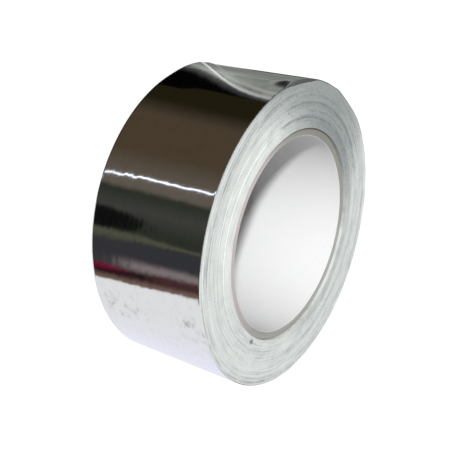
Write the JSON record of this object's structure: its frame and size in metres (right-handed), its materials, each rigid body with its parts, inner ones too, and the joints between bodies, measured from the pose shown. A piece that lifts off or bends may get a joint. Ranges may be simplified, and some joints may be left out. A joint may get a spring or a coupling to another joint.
{
  "type": "roll of foil tape",
  "caption": "Roll of aluminium foil adhesive tape wound on a cardboard core, with rings of turns on its faces, a lifted free end with a diagonal crease and a dented rim.",
  "frame": {"origin": "centre of the end that the roll stands on, on the roll's axis", "axes": "+Z along the roll's axis, up; +Y towards the free end of the tape"},
  "size_m": [0.1178, 0.1179, 0.048],
  "materials": {
    "foil": "polished",
    "tape_edges": "matte",
    "cardboard": "matte",
    "core_lining": "matte"
  },
  "bodies": {
    "root": {"cardboard_core": "cardboard", "wound_tape": "foil"}
  },
  "joints": []
}
